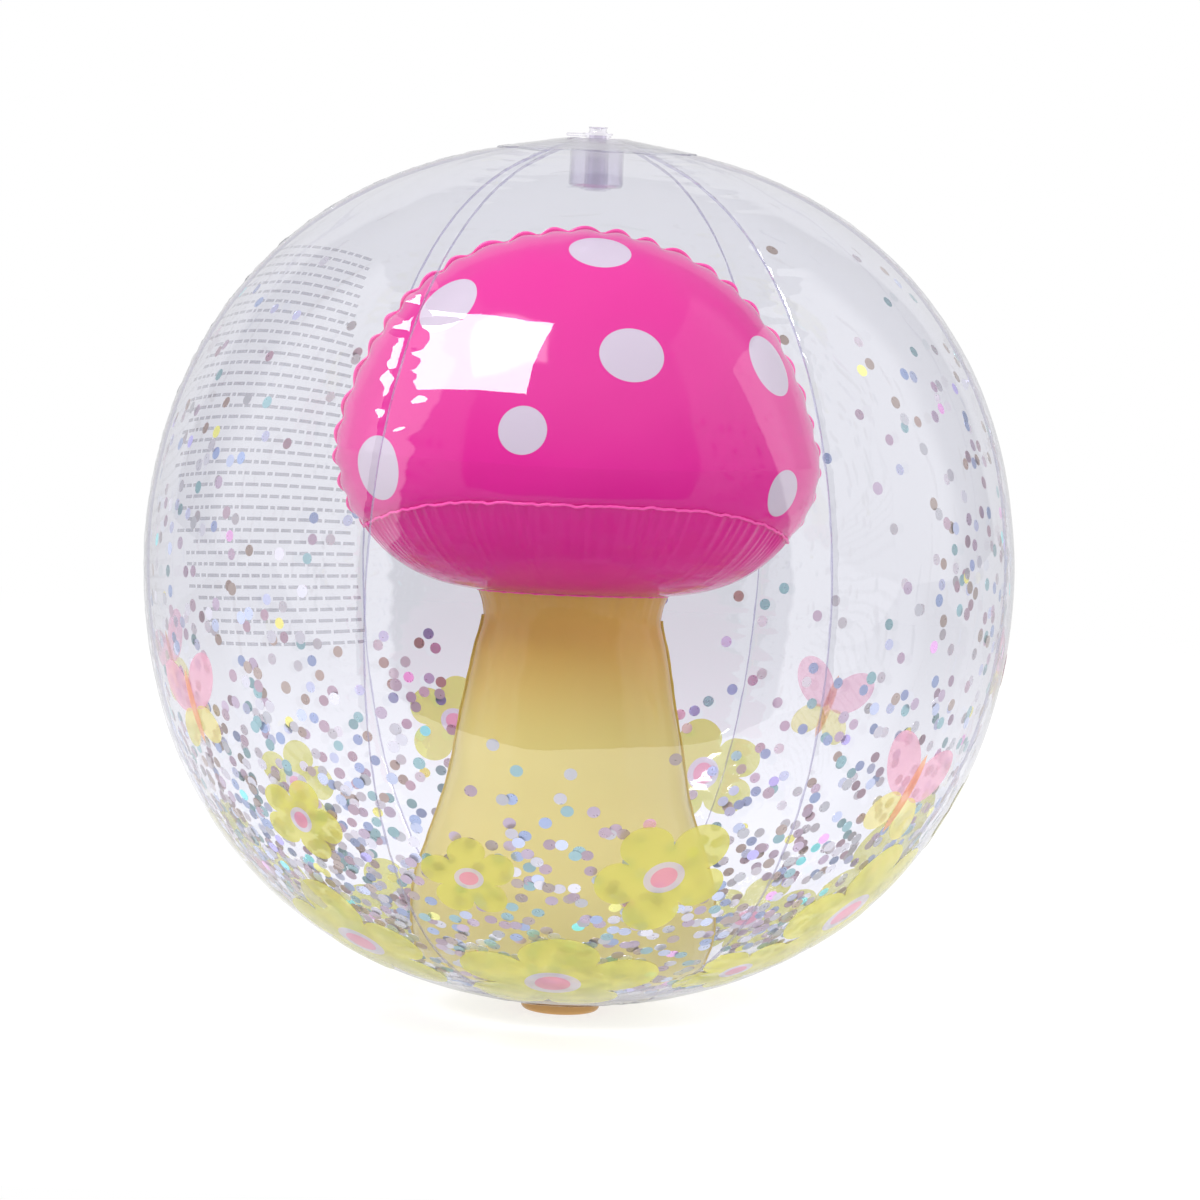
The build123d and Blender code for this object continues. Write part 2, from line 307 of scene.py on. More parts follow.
def vinyl(name, colour, shade, roughness, glow, dots=(), dot_colour=(1, 1, 1), neck=None, gloss=0.3):
    """Printed, inflated vinyl: glossy, faintly blotchy, a little light comes through.

    `neck` is (colour, low height, high height) in metres: painted shade, the amber tone the vinyl deepens to
    towards the high height, for the cap's shadow and the pink light bounced under it.
    """
    material, nodes, links = new_material(name)
    paint = mix_colours(nodes, links, noise_height(nodes, links, 14.0, 3.0), shade, colour)
    if neck:
        # Painted shade: amber deepening up the stem towards the cap, for the cap's shadow and its pink bounce
        # light.
        neck_shade_colour, low, high = neck
        place = nodes.new("ShaderNodeTexCoord")
        split = nodes.new("ShaderNodeSeparateXYZ")
        links.new(place.outputs["Object"], split.inputs[0])
        rise = smooth_ramp(nodes, links, split.outputs["Z"], low, high)
        paint = mix_colours(nodes, links, rise, paint, neck_shade_colour)
    if dots:
        where = nodes.new("ShaderNodeTexCoord")
        inside = None
        for centre, radius, squeeze in dots:
            offset = nodes.new("ShaderNodeVectorMath")
            offset.operation = "SUBTRACT"
            offset.inputs[1].default_value = centre
            links.new(where.outputs["Object"], offset.inputs[0])
            stretch = nodes.new("ShaderNodeVectorMath")
            stretch.operation = "MULTIPLY"
            stretch.inputs[1].default_value = (1, 1, 1 / squeeze)
            links.new(offset.outputs["Vector"], stretch.inputs[0])
            gap = nodes.new("ShaderNodeVectorMath")
            gap.operation = "LENGTH"
            links.new(stretch.outputs["Vector"], gap.inputs[0])
            edge = maths(nodes, links, "SUBTRACT", radius, gap.outputs["Value"])
            cover = maths(nodes, links, "MULTIPLY", edge, 1 / (0.25 * MM), clamp=True)
            inside = cover if inside is None else maths(nodes, links, "MAXIMUM", inside, cover)
        paint = mix_colours(nodes, links, inside, paint, dot_colour)
    skin = nodes.new("ShaderNodeBsdfPrincipled")
    links.new(paint, skin.inputs["Base Color"])
    worn = noise_height(nodes, links, 90.0, 5.0)
    rough = maths(nodes, links, "MULTIPLY_ADD", worn, 0.06)
    rough.node.inputs[2].default_value = roughness
    links.new(rough, skin.inputs["Roughness"])
    skin.inputs["Specular IOR Level"].default_value = gloss
    skin.inputs["IOR"].default_value = 1.53
    links.new(bump_normal(nodes, links, noise_height(nodes, links, 55.0, 2.0), 0.08, 0.0006),
              skin.inputs["Normal"])
    through = simple_shader(nodes, links, "Translucent", paint)
    output_to(nodes, links, mix_shaders(nodes, links, glow, skin.outputs[0], through))
    return material


def foil_material(name):
    """Holographic foil: each disc carries its own colour, metal with a fine grating shimmer."""
    material, nodes, links = new_material(name)
    colour = nodes.new("ShaderNodeVertexColor")
    colour.layer_name = "disc_colour"
    foil = nodes.new("ShaderNodeBsdfPrincipled")
    links.new(colour.outputs["Color"], foil.inputs["Base Color"])
    foil.inputs["Metallic"].default_value = 0.65
    grain = noise_height(nodes, links, 400.0, 2.0)
    rough = maths(nodes, links, "MULTIPLY_ADD", grain, 0.15)
    rough.node.inputs[2].default_value = 0.22
    links.new(rough, foil.inputs["Roughness"])
    output_to(nodes, links, foil.outputs[0])
    return material


FILM = see_through("clear_film", (0.868, 0.870, 0.910), (0.72, 0.72, 0.84), 0.006, 0.085, 0.02, 0.05)
WELD = see_through("weld_film", (0.85, 0.84, 0.92), (0.60, 0.58, 0.74), 0.12, 0.08, 0.08, 0.15)
PATCH = see_through("patch_film", (0.955, 0.955, 0.975), (0.72, 0.72, 0.84), 0.010, 0.03, 0.02, 0.05)
MOULDING = see_through("clear_moulding", (0.945, 0.935, 0.965), (0.70, 0.66, 0.80), 0.03, 0.05, 0.06, 0.10)
GREEN_INK = print_ink("yellow_green_ink", (0.75, 0.73, 0.16), (0.71, 0.70, 0.15), 0.70)
RING_INK = print_ink("lavender_ink", (0.72, 0.68, 0.76), (0.68, 0.62, 0.72), 0.70)
PINK_INK = print_ink("pink_ink", (0.84, 0.36, 0.50), (0.80, 0.32, 0.46), 0.75)
ROSE_INK = print_ink("rose_ink", (0.88, 0.52, 0.64), (0.84, 0.46, 0.60), 0.60)
ORANGE_INK = print_ink("orange_ink", (0.88, 0.48, 0.28), (0.84, 0.42, 0.25), 0.70)
YELLOW_INK = print_ink("yellow_ink", (0.88, 0.82, 0.34), (0.84, 0.77, 0.30), 0.60)
GREY_INK = print_ink("grey_ink", (0.42, 0.42, 0.46), (0.38, 0.38, 0.42), 0.24)
FOIL = foil_material("foil")


# ---------------------------------------------------------------- the ball's skin
def skin_distance(latitude):
    """Distance of the ball's plain outer skin from its centre."""
    angle = np.radians(latitude)
    shape = 1 + SHOULDER_SWELL * np.sin(2 * angle) ** 2
    tent = TENT_HEIGHT * np.exp(-((BALL_RADIUS * np.cos(angle) / TENT_WIDTH) ** 2))
    crown = tent - BALL_RADIUS * CROWN_FLATTENING * np.sin(angle) ** 2
    return BALL_RADIUS * shape + np.where(np.asarray(latitude) > 0, crown, 0)


def latitude_at(radius, side):
    """Latitude where the skin is `radius` from the axis, above (+1) or below (-1) the middle."""
    low, high = 30.0, 90.0
    for _ in range(50):
        middle = (low + high) / 2
        if skin_distance(side * middle) * math.cos(math.radians(middle)) > radius:
            low = middle
        else:
            high = middle
    return side * middle


def relief(azimuth, latitude):
    """How far the film stands off the plain skin: weld grooves, their puckers, slow waves."""
    azimuth = np.asarray(azimuth, float)
    latitude = np.asarray(latitude, float)
    seam = np.round((azimuth - GORE_ARC / 2) / GORE_ARC)
    off = azimuth - GORE_ARC / 2 - seam * GORE_ARC
    reach = skin_distance(latitude) * np.cos(np.radians(latitude))
    gap = np.abs(np.radians(off)) * reach
    along = np.radians(latitude) * BALL_RADIUS
    seed = np.mod(seam, GORE_COUNT) * 3.1
    side = np.sign(off) * 0.8
    groove = -1.0 * np.exp(-gap / 0.8) - 0.3 * np.exp(-((gap / 9.0) ** 2))
    pucker = np.exp(-gap / 6.0) * (1 - np.exp(-gap / 1.2))
    pucker = pucker * (0.65 * wave(along / 3.4, seed + side) + 0.50 * wave(along / 7.7, seed * 2 + side))
    swell = 0.20 * wave(along / 38 + azimuth / 25, 2.0) + 0.12 * wave(azimuth / 9 + along / 60, 5.0)
    calm = smoothstep(TIP_RADIUS, PATCH_RADIUS + 15, reach)
    return (groove + pucker) * (0.25 + 0.75 * calm) + swell * calm


def skin_point(azimuth, latitude, offset=0.0, with_relief=True):
    """Points on the film in millimetres; azimuth 0 is the front, +90 the right side."""
    azimuth = np.asarray(azimuth, float)
    latitude = np.asarray(latitude, float)
    distance = skin_distance(latitude) + offset
    if with_relief:
        distance = distance + relief(azimuth, latitude)
    a, f = np.radians(azimuth), np.radians(latitude)
    return np.stack([distance * np.cos(f) * np.sin(a), -distance * np.cos(f) * np.cos(a),
                     CENTRE_HEIGHT + distance * np.sin(f)], -1)


def make_gores():
    """Six clear gores: fine mesh at the welds, coarser in the middle."""
    rows = 340
    near = np.array([0, 0.35, 0.7, 1.1, 1.6, 2.3, 3.3, 4.8, 7.0, 10.0])
    middle = 15
    latitudes = np.linspace(latitude_at(TIP_RADIUS, -1), latitude_at(TIP_RADIUS, 1), rows)
    half_width = np.radians(GORE_ARC / 2) * skin_distance(latitudes) * np.cos(np.radians(latitudes))
    shrink = np.minimum(1, half_width / 30.0)
    from_seam = near[None, :] * shrink[:, None]
    first = from_seam[:, -1:]
    inner = first + (half_width[:, None] - first) * np.linspace(0, 1, middle + 1)[None, 1:]
    gaps = np.concatenate([from_seam, inner], 1)
    turns = GORE_ARC / 2 * (1 - gaps / half_width[:, None])
    turns = np.concatenate([-turns, turns[:, -2::-1]], 1)
    columns = turns.shape[1]
    for index, node in enumerate(FILM_NODES):
        azimuth = index * GORE_ARC + turns
        points = skin_point(azimuth, latitudes[:, None] * np.ones(columns))
        add_piece("film_" + node, points.reshape(-1, 3), grid_faces(rows, columns), FILM, "ball",
                  "clear_film", [node])


def make_welds():
    """The weld allowance: a narrow double strip turned inwards along each seam."""
    rows = 420
    depth = 1.0
    latitudes = np.linspace(latitude_at(TIP_RADIUS, -1), latitude_at(TIP_RADIUS, 1), rows)
    along = np.radians(latitudes) * BALL_RADIUS
    parts = []
    for index in range(GORE_COUNT):
        azimuth = GORE_ARC / 2 + index * GORE_ARC
        outer = skin_point(np.full(rows, azimuth), latitudes)
        lean = 0.20 * wave(along / 7.0, index) + 0.15 * wave(along / 17.0, index + 9)
        a = math.radians(azimuth)
        side = np.tile([math.cos(a), math.sin(a), 0.0], (rows, 1))
        centre = np.array([0, 0, CENTRE_HEIGHT])
        inward = (centre - outer) / np.linalg.norm(centre - outer, axis=1, keepdims=True)
        inner = outer + inward * depth + side * lean[:, None]
        parts.append(ribbon(inner, outer, side, 0.25))
    vertices, faces = join_parts(parts)
    add_piece("gore_welds", vertices, faces, WELD, "ball", "clear_film", smooth=False)


def make_patch(name, node, side, inner_radius):
    """Round patch over the gore tips, with a thin welded rim."""
    start, end = latitude_at(inner_radius, side), latitude_at(PATCH_RADIUS, side)
    latitudes = np.linspace(start, end, 26)
    azimuths = np.linspace(0, 360, 180, endpoint=False)
    azimuth, latitude = np.meshgrid(azimuths, latitudes)
    sheet = skin_point(azimuth, latitude, 0.35)
    faces = grid_faces(len(latitudes), len(azimuths), wrap=True)
    add_piece(name, sheet.reshape(-1, 3), faces, PATCH, "ball", "clear_film", [node])
    rim_in = skin_point(azimuths, np.full(len(azimuths), latitude_at(PATCH_RADIUS - 0.9, side)), 0.42)
    rim_out = skin_point(azimuths, np.full(len(azimuths), latitude_at(PATCH_RADIUS + 0.1, side)), 0.30)
    up = np.tile([0.0, 0.0, 1.0], (len(azimuths), 1))
    vertices, faces = ribbon(rim_in, rim_out, up, 0.14, closed=True)
    add_piece(name + "_rim", vertices, faces, PATCH, "ball", "clear_film")


# ---------------------------------------------------------------- prints on the film
def directions_at(azimuth, latitude):
    """Outward, rightward and upward unit directions at a place on the ball."""
    a, f = math.radians(azimuth), math.radians(latitude)
    outward = np.array([math.cos(f) * math.sin(a), -math.cos(f) * math.cos(a), math.sin(f)])
    right = np.array([math.cos(a), math.sin(a), 0.0])
    up = np.cross(outward, right)
    return outward, right, up if up[2] > 0 else -up


def laid_on_skin(points, offset):
    """Points on the film in the directions given, `offset` millimetres off it."""
    points = np.array(points, float)
    points /= np.linalg.norm(points, axis=-1, keepdims=True)
    latitudes = np.degrees(np.arcsin(points[..., 2]))
    azimuths = np.degrees(np.arctan2(points[..., 0], -points[..., 1]))
    return skin_point(azimuths, latitudes, offset)


def print_patch(azimuth, latitude, turn, outline, offset, hole=None, rings=7, segments=120):
    """Flat ink shape laid on the film: `outline` and `hole` give its radii in millimetres."""
    centre, east, north = directions_at(azimuth, latitude)
    angles = np.linspace(0, 2 * math.pi, segments, endpoint=False)
    reach = outline(angles)
    start = hole(angles) if hole else 0 * angles
    turned = angles + math.radians(turn)
    sides = east[None, :] * np.cos(turned)[:, None] + north[None, :] * np.sin(turned)[:, None]
    points = [] if hole else [centre]
    faces = [] if hole else [(0, 1 + (i + 1) % segments, 1 + i) for i in range(segments)]
    first = 0 if hole else 1
    for ring in range(first, rings + 1):
        length = (start + (reach - start) * ring / rings) / BALL_RADIUS
        points.extend(centre + sides * length[:, None])
    faces += grid_faces(rings + 1 - first, segments, wrap=True, start=first)
    return laid_on_skin(points, offset), faces


def petals(size, count, depth, seed):
    """Round-petalled outline with uneven petals."""
    def outline(angles):
        lobe = np.abs(np.cos(count * angles / 2)) ** 0.6
        uneven = 1 + 0.07 * np.sin(angles * 2 + seed) + 0.05 * np.sin(angles * 3 + seed * 2)
        return size * uneven * (1 - depth + depth * lobe)
    return outline


def oval(width, height):
    """Outline of an ellipse from its half width and half height."""
    def outline(angles):
        return width * height / np.sqrt((height * np.cos(angles)) ** 2 + (width * np.sin(angles)) ** 2)
    return outline


PETAL_COUNT = 5
PETAL_DEPTH = 0.42
PRINT_OFFSET = 0.25
FLOWERS = [  # azimuth, latitude, size, turn
    (-17.5, -36, 19, 20),
    (11.5, -34.5, 27, 50),
    (-5, -59, 40, 85),
    (-44, -30, 19, 65),
    (-50, -53, 36, 10),
    (56, -44, 38, 35),
    (40, -56, 24, 0),
    (-164, -28, 22, 30),
    (154, -34, 26, 75),
    (100, -42, 34, 15),
    (-98, -46, 36, 55),
    (180, -55, 36, 25),
    (125, -57, 30, 5),
    (-130, -36, 21, 45),
    (-140, -58, 30, 80),
    (78, -30, 17, 60),
]


def make_flowers():
    """Yellow-green flowers low on the ball, each with a pale ring and a pink centre."""
    petal_parts, ring_parts, core_parts = [], [], []
    for index, (azimuth, latitude, size, turn) in enumerate(FLOWERS):
        place = (azimuth, latitude, turn)
        ring = oval(size * 0.30, size * 0.27)
        core = oval(size * 0.20, size * 0.17)
        outline = petals(size, PETAL_COUNT, PETAL_DEPTH, index * 1.3)
        petal_parts.append(print_patch(*place, outline, PRINT_OFFSET, hole=ring))
        ring_parts.append(print_patch(*place, ring, PRINT_OFFSET, hole=core, rings=3))
        core_parts.append(print_patch(*place, core, PRINT_OFFSET, rings=3))
    add_piece("flower_petals", *join_parts(petal_parts), GREEN_INK, "ball", "clear_film")
    add_piece("flower_rings", *join_parts(ring_parts), RING_INK, "ball", "clear_film")
    add_piece("flower_centres", *join_parts(core_parts), PINK_INK, "ball", "clear_film")


def shifted(azimuth, latitude, right, up):
    """Azimuth and latitude of a point `right` and `up` millimetres from a place on the ball."""
    latitude_there = latitude + math.degrees(up / BALL_RADIUS)
    reach = BALL_RADIUS * math.cos(math.radians(latitude_there))
    return azimuth + math.degrees(right / reach), latitude_there


BUTTERFLIES = [  # azimuth, latitude, size, tilt
    (-63, -17, 1.0, 12),
    (50, -24, 1.15, -18),
    (135, -22, 0.95, 8),
    (-105, -16, 0.9, -12),
    (88, -12, 0.8, 20),
]
UPPER_WING = (11, 9, 13.5, 8.5, 38)  # right, up, half width, half height, turn
LOWER_WING = (8, -8, 9, 6.5, -42)


def make_butterflies():
    """Plain butterflies: two upper wings, two lower wings and a slim body each."""
    upper, lower, bodies = [], [], []
    for azimuth, latitude, size, tilt in BUTTERFLIES:
        lean = math.radians(tilt)
        for hand in (-1, 1):
            for group, (right, up, width, height, turn) in ((upper, UPPER_WING), (lower, LOWER_WING)):
                x = hand * right * size
                y = up * size
                place = shifted(azimuth, latitude, x * math.cos(lean) - y * math.sin(lean),
                                x * math.sin(lean) + y * math.cos(lean))
                wing = oval(width * size, height * size)
                group.append(print_patch(*place, hand * turn + tilt, wing, 0.2, rings=5, segments=60))
        body = oval(15 * size, 2.4 * size)
        bodies.append(print_patch(azimuth, latitude, 90 + tilt, body, 0.35, rings=4, segments=48))
    add_piece("butterfly_upper_wings", *join_parts(upper), ROSE_INK, "ball", "clear_film")
    add_piece("butterfly_lower_wings", *join_parts(lower), YELLOW_INK, "ball", "clear_film")
    add_piece("butterfly_bodies", *join_parts(bodies), ORANGE_INK, "ball", "clear_film")


def make_grey_bars():
    """Rows of plain grey dashes on the back of the film, a stand-in for small print."""
    random = np.random.default_rng(17)
    first_row = np.array([-119.0, 44.0])
    last_row = np.array([-134.0, -16.0])
    row_count, steps = 38, 6
    tilt = math.radians(3)
    half_height = 0.75
    space = 1.4
    parts = []
    for row in range(row_count):
        azimuth, latitude = first_row + (last_row - first_row) * row / (row_count - 1)
        outward, right, up = directions_at(azimuth, latitude)
        across = right * math.cos(tilt) + up * math.sin(tilt)
        above = up * math.cos(tilt) - right * math.sin(tilt)
        half = 48.0 + 16.0 * math.sin(math.pi * row / row_count)
        place = -half + random.uniform(0, 3)
        end = half - random.uniform(0, 14)
        while place < end:
            length = random.uniform(2.5, 9.0)
            spans = np.linspace(place, place + length, steps) / BALL_RADIUS
            edges = np.array([-half_height, half_height]) / BALL_RADIUS
            points = outward + spans[None, :, None] * across + edges[:, None, None] * above
            parts.append((laid_on_skin(points, 0.2).reshape(-1, 3), grid_faces(2, steps)))
            place += length + space
    add_piece("grey_bars", *join_parts(parts), GREY_INK, "ball", "clear_film")


# ---------------------------------------------------------------- mushroom
DEPTH_RATIO = 0.87
CAP_HALF_WIDTH = 98.0
CAP_RISE = 90.0
CAP_DROP = 69.0
CAP_MIDDLE = 47.0
RIM_SIDE_HEIGHT = 14.0
RIM_FRONT_LIFT = 18.0
RING_HALF_WIDTH = 38.3
RING_HEIGHT = -9.5
UNDERSIDE_COLUMNS = 900
SCALLOP_PITCH = 13.0
NOTCH_DEPTH = 2.9
PLEAT_COUNT = 112
CAP_ARC = 94.0
LEAN = 0.012


def leaning(points):
    """The soft mushroom leans a little to the left of the ball's axis."""
    points = np.array(points, float)
    points[..., 0] -= LEAN * np.maximum(0, points[..., 2] - BOTTOM_SKIN)
    return points


def rim_angle(azimuth):
    """Polar angle at which the dome meets the rim seam; the seam arches up front and back."""
    x = np.abs(np.sin(np.radians(azimuth)))
    height = RIM_SIDE_HEIGHT + RIM_FRONT_LIFT * (1 - x ** 3.5)
    return np.degrees(np.arccos(-(CAP_MIDDLE - height) / CAP_DROP))


def scallop(along):
    """Row of uneven arcs with soft notches: 1 on an arc's crest, 0 in a notch."""
    phase = along / SCALLOP_PITCH + 0.20 * wave(along / 37.0, 3.0)
    softened = np.sqrt(np.cos(math.pi * phase) ** 2 + 0.015)
    return (softened - 0.1225) / 0.885


def dome_point(azimuth, polar, lift=0.0):
    """Inflated dome of the cap, with the puckers of its vertical seam and rim seam."""
    a, t = np.radians(azimuth), np.radians(polar)
    rise = np.where(polar < 90, CAP_RISE, CAP_DROP)
    level = np.clip(np.cos(t), 0, 1)
    slim = 1 - 0.14 * level * (1 - level)
    radius = CAP_HALF_WIDTH * np.sin(t) * slim
    x, y = radius * np.sin(a), -DEPTH_RATIO * radius * np.cos(a)
    z = rise * np.cos(t)
    normal = np.stack([x / CAP_HALF_WIDTH ** 2, y / (DEPTH_RATIO * CAP_HALF_WIDTH) ** 2, z / rise ** 2], -1)
    normal /= np.linalg.norm(normal, axis=-1, keepdims=True)
    along = np.arctan2(np.sin(t) * np.sin(a), np.cos(t)) * CAP_ARC
    gap = np.abs(y)
    notch = 1 - scallop(along)
    deep = NOTCH_DEPTH * (0.85 + 0.30 * wave(along / 19.0, 7.0))
    face = np.sign(np.cos(a) + 1e-9)
    push = -deep * notch * np.exp(-((gap / 11.0) ** 2))
    push = push - 0.6 * np.exp(-((gap / 7.0) ** 2)) + 0.5 * np.exp(-gap / 1.2)
    push = push + 0.30 * np.exp(-gap / 14.0) * wave(along / 8.0, 4.0 + face) * (1 - np.exp(-gap / 4.0))
    rim = (rim_angle(azimuth) - polar) * math.pi / 180 * 80
    pleat = wave(azimuth / 4.1, 6.0)
    push = push - 1.0 * np.exp(-rim / 2.2) + 0.18 * np.exp(-rim / 9.0) * pleat
    push = push + 0.35 * wave(x / 30 + z / 37, 1.0) + 0.25 * wave(z / 26 - x / 41, 8.0)
    base = np.stack([x, y, z + CAP_MIDDLE + CENTRE_HEIGHT], -1)
    return leaning(base + normal * (push + lift)[..., None]), normal


def make_cap():
    """Front and back panels of the cap, with the finest mesh at their seam."""
    rows, columns = 250, 281
    share = np.linspace(0, 1, rows) ** 0.97
    spread = np.linspace(-1, 1, columns)
    turns = 90 * np.sign(spread) * (1 - (1 - np.abs(spread)) ** 1.5)
    faces = grid_faces(rows, columns)
    for side, middle in (("front", 0), ("back", 180)):
        azimuths = middle + turns
        azimuth = np.tile(azimuths, (rows, 1))
        polar = share[:, None] * rim_angle(azimuths)[None, :]
        points, _ = dome_point(azimuth, polar)
        node = "mushroom_cap_%s_panel" % side
        add_piece("cap_" + side, points.reshape(-1, 3), faces, PINK, "ball", "pink_vinyl", [node])


def make_cap_fins():
    """Weld fin over the top of the cap, and the finer bead along the rim seam."""
    count = 900
    sweep = np.linspace(-1, 1, count)
    side_rim = float(rim_angle(90))
    azimuth = np.where(sweep < 0, -90.0, 90.0)
    polar = np.abs(sweep) * side_rim
    inner, _ = dome_point(azimuth, polar, -0.5)
    along = sweep * math.radians(side_rim) * CAP_ARC
    outer, _ = dome_point(azimuth, polar, 0.9)
    lean = 0.4 * wave(along / 9.0, 2.0)
    outer[:, 1] += lean
    side = np.tile([0.0, 1.0, 0.0], (count, 1))
    vertices, faces = ribbon(inner, outer, side, 0.45)
    add_piece("cap_seam_fin", vertices, faces, HIGHLIT_PINK_WELD, "ball", "pink_vinyl")
    azimuths = np.linspace(-180, 180, 1200, endpoint=False)
    edge, normal = dome_point(azimuths, rim_angle(azimuths), 0.0)
    wobble = 0.45 * wave(azimuths / 3.7, 3.0) + 0.25 * wave(azimuths / 1.6, 8.0)
    stand = 0.35 + 0.25 * wave(azimuths / 2.3, 1.0)
    path = edge + normal * stand[:, None] + np.stack([0 * azimuths, 0 * azimuths, wobble], -1)
    vertices, faces = bead(path, 0.62, closed=True)
    add_piece("cap_rim_bead", vertices, faces, HIGHLIT_PINK_WELD, "ball", "pink_vinyl")


def ring_point(azimuth, lift=0.0):
    """Where the underside panel is welded to the stem."""
    a = np.radians(azimuth)
    radius = RING_HALF_WIDTH + lift
    height = RING_HEIGHT + 2.0 * np.cos(a) + CENTRE_HEIGHT
    return leaning(np.stack([radius * np.sin(a), -DEPTH_RATIO * radius * np.cos(a), height + 0 * a], -1))


def make_underside():
    """Underside panel from the cap's rim to the stem's neck, pleated under the rim seam."""
    rows = 56
    azimuths = np.linspace(-180, 180, UNDERSIDE_COLUMNS, endpoint=False)
    rim, _ = dome_point(azimuths, rim_angle(azimuths), 0.0)
    ring = ring_point(azimuths)
    control = ring + (rim - ring) * 0.66
    control[:, 2] = ring[:, 2] + 1.0 + 0.16 * (rim[:, 2] - ring[:, 2])
    share = np.linspace(0, 1, rows)[:, None, None]
    points = (1 - share) ** 2 * rim + 2 * share * (1 - share) * control + share ** 2 * ring
    down = np.gradient(points, axis=0)
    round_about = np.gradient(np.concatenate([points[:, -1:], points, points[:, :1]], 1), axis=1)[:, 1:-1]
    normal = np.cross(round_about, down)
    normal /= np.linalg.norm(normal, axis=-1, keepdims=True)
    normal *= np.sign(-normal[..., 2:3] + 1e-9)
    length = np.linalg.norm(rim - ring, axis=1)
    distance = share[:, :, 0] * length[None, :]
    phase = azimuths / 360 * PLEAT_COUNT + 0.6 * wave(azimuths / 13.0, 2.0)
    fold = 0.4 - np.abs(np.sin(math.pi * phase)) ** 1.3
    strength = 0.55 + 0.45 * wave(azimuths / 7.0, 5.0)
    fade = 9.0 + 4.0 * wave(azimuths / 5.3, 4.0)
    decay = np.exp(-distance / fade[None, :]) * (1 - 0.75 * np.exp(-distance / 1.2))
    push = 1.5 * decay * (fold * strength)[None, :] + 0.30 * wave(azimuths / 13.0, 1.0)[None, :] * decay
    tail = np.exp(-((length[None, :] - distance) / 6.0))
    push = push + 0.35 * tail * wave(azimuths / 5.0, 9.0)[None, :] * (1 - share[:, :, 0])
    bulge = 1.3 * np.sin(math.pi * share[:, :, 0])
    points = points + normal * (push + bulge)[..., None]
    faces = grid_faces(rows, len(azimuths), wrap=True)
    add_piece("cap_underside", points.reshape(-1, 3), faces, PINK, "ball", "pink_vinyl",
              ["mushroom_underside_panel"])


STEM_OUTLINE = [  # half width, height from the ball's centre
    (RING_HALF_WIDTH, RING_HEIGHT),
    (36.4, -15.5),
    (36.0, -21.5),
    (38.4, -31),
    (41.2, -46),
    (44.7, -66),
    (49.6, -92),
    (56.5, -114),
    (60.2, -126),
    (61.4, -138),
    (60.8, -150),
    (57.5, -160),
]


def smooth_outline(places, count):
    """Catmull-Rom curve through (radius, height) places."""
    p = np.array(places, float)
    p = np.concatenate([[2 * p[0] - p[1]], p, [2 * p[-1] - p[-2]]])
    spans = len(p) - 3
    u = np.linspace(0, spans, count)
    i = np.minimum(u.astype(int), spans - 1)
    t = (u - i)[:, None]
    a, b, c, d = p[i], p[i + 1], p[i + 2], p[i + 3]
    square = (2 * a - 5 * b + 4 * c - d) * t ** 2
    cube = (3 * b - a - 3 * c + d) * t ** 3
    return 0.5 * ((2 * b) + (c - a) * t + square + cube)


def stem_surface(azimuth, outline, lift=0.0):
    """Stem panels: slim at the neck, wide at the foot, with fine puckers at the side seams."""
    a = np.radians(azimuth)
    radius, height = outline[:, 0][:, None], outline[:, 1][:, None]
    gap = np.abs(np.cos(a)) * radius * DEPTH_RATIO
    along = height + 0 * gap
    face = np.sign(np.cos(a) + 1e-9)
    neck = np.exp(-((height + 10) / 9.0) ** 2)
    push = -0.45 * np.exp(-gap / 4.0) * (0.7 + 0.4 * wave(along / 6.5, face * 2)) + 0.45 * np.exp(-gap / 1.6)
    push = push + 0.30 * wave(along / 19 + azimuth / 40, 3.0) + 0.25 * neck * wave(azimuth / 6.0, 2.0)
    foot = smoothstep(-140, -158, height)
    push = push + 0.5 * foot * wave(azimuth / 7.0, 4.0)
    radius = radius + push + lift
    rise = 2.0 * np.cos(a) * smoothstep(-60, -9, height)
    return leaning(np.stack([radius * np.sin(a), -DEPTH_RATIO * radius * np.cos(a),
                             height + CENTRE_HEIGHT + rise], -1))


def make_stem():
    """Front and back panels of the stem, its side weld fins and the bead round its neck."""
    rows, columns = 170, 181
    outline = smooth_outline(STEM_OUTLINE, rows)
    faces = grid_faces(rows, columns)
    for side, start in (("front", -90), ("back", 90)):
        azimuths = start + np.linspace(0, 180, columns)
        points = stem_surface(np.tile(azimuths, (rows, 1)), outline)
        node = "mushroom_stem_%s_panel" % side
        add_piece("stem_" + side, points.reshape(-1, 3), faces, YELLOW, "ball", "yellow_vinyl", [node])
    fine = smooth_outline(STEM_OUTLINE, 420)
    fine = fine[int(len(fine) * 0.16):]
    parts = []
    for azimuth in (-90.0, 90.0):
        inner = stem_surface(np.full((len(fine), 1), azimuth), fine, -0.4)[:, 0]
        outer = stem_surface(np.full((len(fine), 1), azimuth), fine, 0.75)[:, 0]
        outer[:, 1] += 0.3 * wave(fine[:, 1] / 9.0, azimuth)
        side = np.tile([0.0, 1.0, 0.0], (len(fine), 1))
        parts.append(ribbon(inner, outer, side, 0.45))
    add_piece("stem_side_fins", *join_parts(parts), YELLOW_EDGE, "ball", "yellow_vinyl")
    azimuths = np.linspace(-180, 180, 600, endpoint=False)
    path = ring_point(azimuths, 0.35)
    path[:, 2] += 0.2 * wave(azimuths / 4.0, 6.0)
    vertices, faces = bead(path, 0.35, closed=True)
    add_piece("stem_neck_bead", vertices, faces, HIGHLIT_PINK_WELD, "ball", "pink_vinyl")


